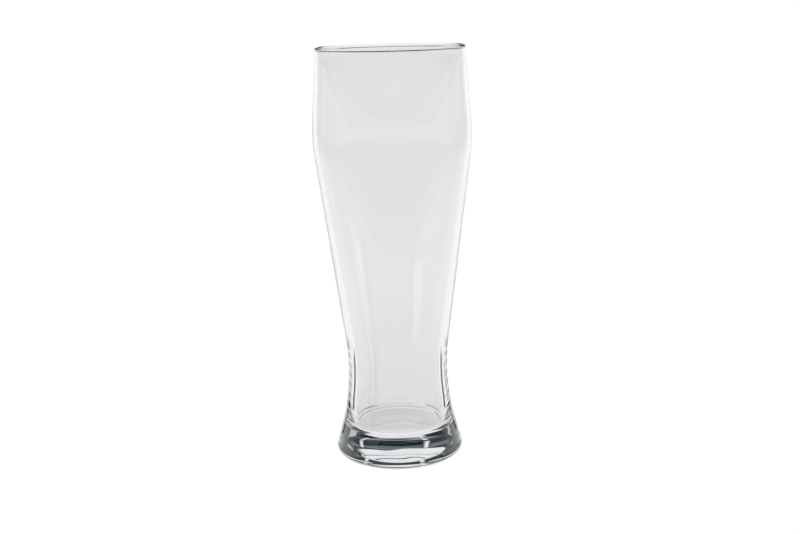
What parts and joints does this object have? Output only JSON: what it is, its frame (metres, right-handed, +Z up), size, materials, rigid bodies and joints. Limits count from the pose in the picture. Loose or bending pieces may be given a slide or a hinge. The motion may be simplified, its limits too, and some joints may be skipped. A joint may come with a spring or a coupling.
{
  "type": "beer glass",
  "caption": "Tall clear wheat beer glass with a thick solid foot, a narrow waist, a straight flaring bowl, a soft shoulder and a fire-polished rim.",
  "frame": {"origin": "on the glass's axis, in the plane of the bearing ring that it stands on", "axes": "+Z up along the glass's axis, -Y towards the side seen in the picture, +X to its right"},
  "size_m": [0.0844, 0.0844, 0.223],
  "materials": {
    "clear_glass": "clear soda-lime glass, smooth and bright, faint blue-green where it is thick",
    "fill_print": "very faint frosted print"
  },
  "bodies": {
    "root": {"foot": "clear_glass", "bowl": "clear_glass", "rim_bead": "clear_glass", "fill_line": "fill_print"}
  },
  "joints": []
}
